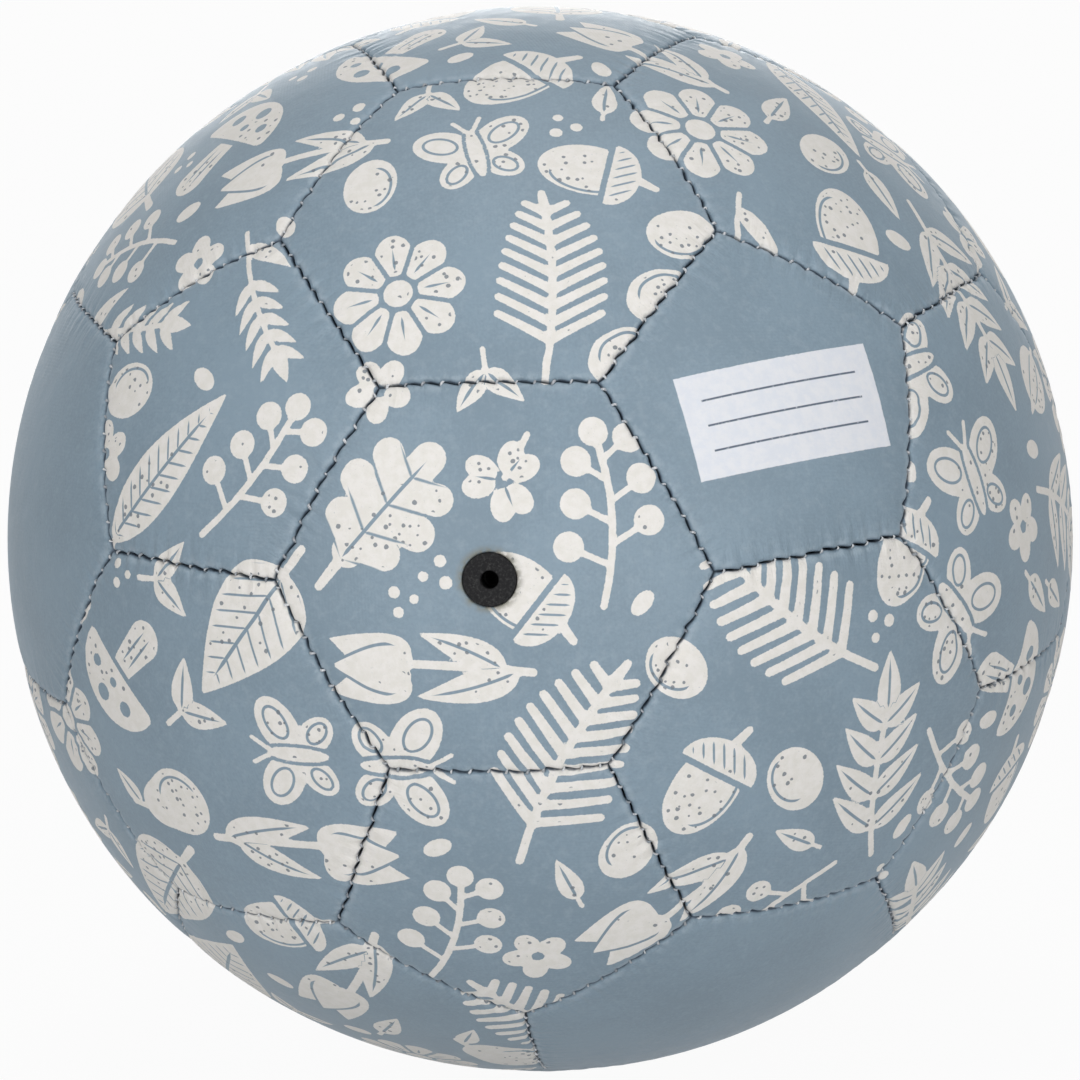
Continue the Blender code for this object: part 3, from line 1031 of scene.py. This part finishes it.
def add_label(g, dust, sheet):
    # A blank pale patch with three ruled lines.
    beside = g.math('ABSOLUTE', g.fact("label_x"))
    away = g.math('ABSOLUTE', g.fact("label_y"))
    side = g.math('SUBTRACT', beside, label_half_width)
    edge = g.math('MAXIMUM', side, g.math('SUBTRACT', away, label_half_height))
    ragged = g.math('SUBTRACT', g.noise(2.2, 2.0), 0.5)
    on_patch = g.border(g.total((ragged, 0.14), (edge, 1.0)), 0.0)
    rule = g.border(g.math('PINGPONG', away, rule_pitch / 2), rule_half)
    rule = g.product(rule, g.border(beside, rule_half_length), g.border(away, rules_half_height),
                     g.ramp(g.noise(3.5, 2.0), 0.30, 0.42, 0.45, 1.0))
    patch = g.mix(g.ramp(dust, 0.35, 0.65), label_colour, bright_label_colour)
    return g.mix(on_patch, sheet, g.mix(rule, patch, rule_colour)), on_patch


def sheet_material(kind):
    g = Graph(kind + "_sheet")
    seam, pinch, own = g.fact("seam"), g.fact("pinch"), g.fact("own")
    dust = g.noise(0.7, 4.0, 0.65)
    blotch = g.noise(0.07, 2.0)
    weave = g.product(g.math('SINE', g.product(g.fact("rows"), tau / weave_pitch)),
                      g.ramp(g.noise(0.11, 2.0), 0.4, 0.6, 0.15, 1.0))
    darker, lighter = [linear(sheet_colour, tone) for tone in sheet_tones]
    shade = g.total((blotch, 0.55), (g.noise(2.4, 2.0, 0.6), 0.45), (own, 0.03), (weave, 0.018))
    colour = g.mix(g.ramp(shade, 0.36, 0.64), darker, lighter)
    colour = g.mix(g.ramp(dust, 0.45, 0.75, 0.0, 0.3), colour, wear_and_highlight_colour)
    printed = 0.0
    if kind == "printed":
        colour, printed = add_print(g, dust, colour)
    if kind == "labelled":
        colour, printed = add_label(g, dust, colour)

    # Painted highlight: a patchy lighter band on the folds beside the seams. Painted shade: patchy darkening
    # beside the seams, darkest in the crease. The rim of the valve's hole gets a darker yellowish smudge.
    painted_fold_highlight = g.product(g.ramp(seam, 0.2, 0.45), g.ramp(seam, 0.5, 1.5, 0.55, 0.0), g.ramp(dust, 0.38, 0.58),
                       g.math('SUBTRACT', 1.0, printed))
    colour = g.mix(painted_fold_highlight, colour, wear_and_highlight_colour)
    # Painted shade within 0.8 mm of the seams, patchy
    painted_seam_shade = g.product(g.ramp(seam, 0.15, 0.8, 0.16, 0.0), g.ramp(dust, 0.35, 0.65, 1.0, 0.3))
    colour = g.mix(painted_seam_shade, colour, seam_shade_colour)
    # Painted shade in the crease, lighter at the stitches and wider near the corners
    corner = g.ramp(g.fact("stitch"), 0.2, 0.9, 1.0, 0.0)
    painted_crease_shade = g.ramp(seam, 0.04, g.total((pinch, -0.12), (corner, 0.14), (0.22, 1.0)), 0.95, 0.0)
    painted_crease_shade = g.product(painted_crease_shade, g.ramp(pinch, 0.2, 0.9, 1.0, 0.2),
                       g.ramp(g.noise(0.8, 2.0), 0.35, 0.55, 0.6, 1.0))
    colour = g.mix(painted_crease_shade, colour, crease_shade_colour)
    smudge = g.product(g.ramp(g.fact("hole"), 0.0, 1.2, 0.8, 0.0),
                       g.ramp(g.noise(1.2, 3.0), 0.38, 0.58, 0.3, 1.0))
    colour = g.mix(smudge, colour, smudge_colour)

    # Grain, a faint weave of the backing cloth, wrinkles that run in from the seams, and uneven foam.
    grain = g.noise(1.9, 3.0, 0.6)
    strokes = g.join(g.product(g.fact("stitch"), 2.6), g.product(seam, 0.3), g.product(own, 9.0))
    wrinkles = g.product(g.noise(1.0, 2.0, 0.6, strokes), g.ramp(seam, 0.2, 6.0, 1.0, 0.0))
    height = g.total((grain, 0.036), (weave, 0.003), (wrinkles, 0.21), (g.noise(0.25, 1.0), 0.12),
                     (printed, 0.010))
    roughness = g.total((printed, 0.08), (g.ramp(dust, 0.3, 0.7, 0.44, 0.56), 1.0))
    return g.finish(colour, roughness, g.bump(height), 0.3)


def thread_material():
    g = Graph("stitch_thread")
    # Each stitch is mixed between lit thread and thread painted in shade, and small patches are painted in
    # shade too
    colour = g.mix(g.fact("shade"), shaded_thread_colour, thread_colour)
    shaded_patches = g.ramp(g.noise(5.0, 2.0), 0.35, 0.65, 0.0, 0.5)
    colour = g.mix(shaded_patches, colour, shaded_thread_colour)
    return g.finish(colour, 0.75, g.bump(g.product(g.noise(7.0, 2.0), 0.04)))


def rubber_material(name, rgb, speckle):
    g = Graph(name)
    spots = g.ramp(g.noise(2.6, 4.0, 0.75), 0.46, 0.74)
    colour = g.mix(spots, rgb, speckle)
    height = g.total((g.noise(4.0, 3.0, 0.6), 0.05), (g.noise(1.0, 2.0), 0.09))
    roughness = g.ramp(spots, 0.0, 1.0, rubber_roughness, rubber_roughness + 0.12)
    return g.finish(colour, roughness, g.bump(height), 0.15)


def cloth_material():
    g = Graph("backing_cloth")
    wave = g.nodes.new("ShaderNodeTexWave")
    wave.inputs["Scale"].default_value = 0.5
    g.put(wave.inputs["Vector"], g.place)
    colour = g.mix(wave.outputs["Fac"], *cloth_colours)
    return g.finish(colour, 0.9, g.bump(g.product(wave.outputs["Fac"], 0.05)))


# Stage. The camera stands as in the photograph, whose outline of the ball gives its lens and aim.
camera_turn = radians(5.56)
camera_lift = radians(14.88)
camera_roll = radians(-2.5)
camera_distance = 24.387 * ball_radius
photo_width = 1080
photo_radius = 532.8
photo_centre = (540.3, 539.0)
sensor_width = 36.0


def outwards(turn, lift):
    return Vector((sin(turn) * cos(lift), -cos(turn) * cos(lift), sin(lift)))


def make_camera():
    out = outwards(camera_turn, camera_lift)
    level = Vector((cos(camera_turn), sin(camera_turn), 0.0))
    right = level * cos(camera_roll) + out.cross(level) * sin(camera_roll)
    up = out.cross(right)
    data = bpy.data.cameras.new("camera")
    data.sensor_width = sensor_width
    sight = asin(sheet_radius / camera_distance)
    data.lens = photo_radius / photo_width * sensor_width / tan(sight)
    pixel = sheet_radius / photo_radius
    aim = Vector((0.0, 0.0, centre_height)) + right * (photo_width / 2 - photo_centre[0]) * pixel
    aim += up * (photo_centre[1] - photo_width / 2) * pixel
    camera = add_object("camera", data)
    turn = Matrix((right, up, out)).transposed().to_4x4()
    camera.matrix_world = Matrix.Translation((aim + out * camera_distance) * metres) @ turn
    bpy.context.scene.camera = camera


# Each softbox: turn from the camera's side and height in degrees, power in watts
softboxes = {
    "left_softbox": (-42, 26, 5.7),
    "right_softbox": (42, 26, 2.6),
    "high_right_softbox": (42, 50, 2.0),
    "front_left_fill": (-20, 4, 4.7),
    "front_right_fill": (20, 4, 8.1),
    "top_softbox": (180, 80, 4.0),
    "high_front_softbox": (0, 80, 2.6),
    "back_right_softbox": (150, 50, 1.6),
    "back_left_softbox": (-150, 50, 1.0),
    "back_fill": (180, 3, 6.5),
    "back_right_fill": (160, 3, 1.3),
    "back_left_fill": (-160, 3, 1.3),
}
softbox_distance = 1.5
softbox_width = 0.55
softbox_height = 0.7
room_light = 0.03
room_colour = (0.98, 0.99, 1.0, 1.0)
floor_half = 8
floor_colour = 0.7
floor_glow = 0.95


def add_softbox(name, turn, lift, power):
    out = outwards(camera_turn + radians(turn), radians(lift))
    data = bpy.data.lights.new(name, 'AREA')
    data.shape = 'RECTANGLE'
    data.size = softbox_width
    data.size_y = softbox_height
    data.energy = power
    light = add_object(name, data)
    light.location = Vector((0.0, 0.0, centre_height * metres)) + out * softbox_distance
    light.rotation_euler = out.to_track_quat('Z', 'Y').to_euler()


def white_sight(nodes, links):
    # 1 for the camera's own rays and those that gloss or glass sends on: they meet white surroundings.
    path = nodes.new("ShaderNodeLightPath")
    share = path.outputs["Is Camera Ray"]
    for kind in ("Is Glossy Ray", "Is Transmission Ray"):
        node = nodes.new("ShaderNodeMath")
        node.operation = 'MAXIMUM'
        links.new(share, node.inputs[0])
        links.new(path.outputs[kind], node.inputs[1])
        share = node.outputs[0]
    return share


def make_floor():
    mesh = bpy.data.meshes.new("floor")
    corners = [(x * floor_half, y * floor_half, 0) for x, y in ((-1, -1), (1, -1), (1, 1), (-1, 1))]
    mesh.from_pydata(corners, [], [(0, 1, 2, 3)])
    floor = add_object("floor", mesh)
    g = Graph("floor")
    mesh.materials.append(g.finish((floor_colour, floor_colour, floor_colour, 1.0), 0.9, None, 0.0))
    glow = g.nodes.new("ShaderNodeEmission")
    blend = g.nodes.new("ShaderNodeMixShader")
    g.put(blend.inputs["Fac"], g.product(white_sight(g.nodes, g.links), floor_glow))
    g.put(blend.inputs[1], g.shader.outputs[0])
    g.put(blend.inputs[2], glow.outputs[0])
    g.put(g.nodes["Material Output"].inputs["Surface"], blend.outputs[0])
    g.material.cycles.emission_sampling = 'NONE'
    floor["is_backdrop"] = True


def make_world():
    world = bpy.data.worlds.new("studio")
    bpy.context.scene.world = world
    world.use_nodes = True
    nodes, links = world.node_tree.nodes, world.node_tree.links
    blend = nodes.new("ShaderNodeMixShader")
    white = nodes.new("ShaderNodeBackground")
    white.inputs["Color"].default_value = (1.0, 1.0, 1.0, 1.0)
    room = nodes["Background"]
    room.inputs["Color"].default_value = room_colour
    room.inputs["Strength"].default_value = room_light
    links.new(white_sight(nodes, links), blend.inputs["Fac"])
    links.new(room.outputs[0], blend.inputs[1])
    links.new(white.outputs[0], blend.inputs[2])
    links.new(blend.outputs[0], nodes["World Output"].inputs["Surface"])


def write_sizes():
    boxes = {"cad": cad_box, "visual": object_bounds()}
    boxes = {name: [list(map(float, corner)) for corner in box] for name, box in boxes.items()}


make_camera()
make_panels(place_motifs())
make_stitches()
make_valve()
dress_hidden_pieces()
make_floor()
make_world()
for name, (turn, lift, power) in softboxes.items():
    add_softbox(name, turn, lift, power)
bpy.context.scene.view_settings.view_transform = 'Standard'
write_sizes()
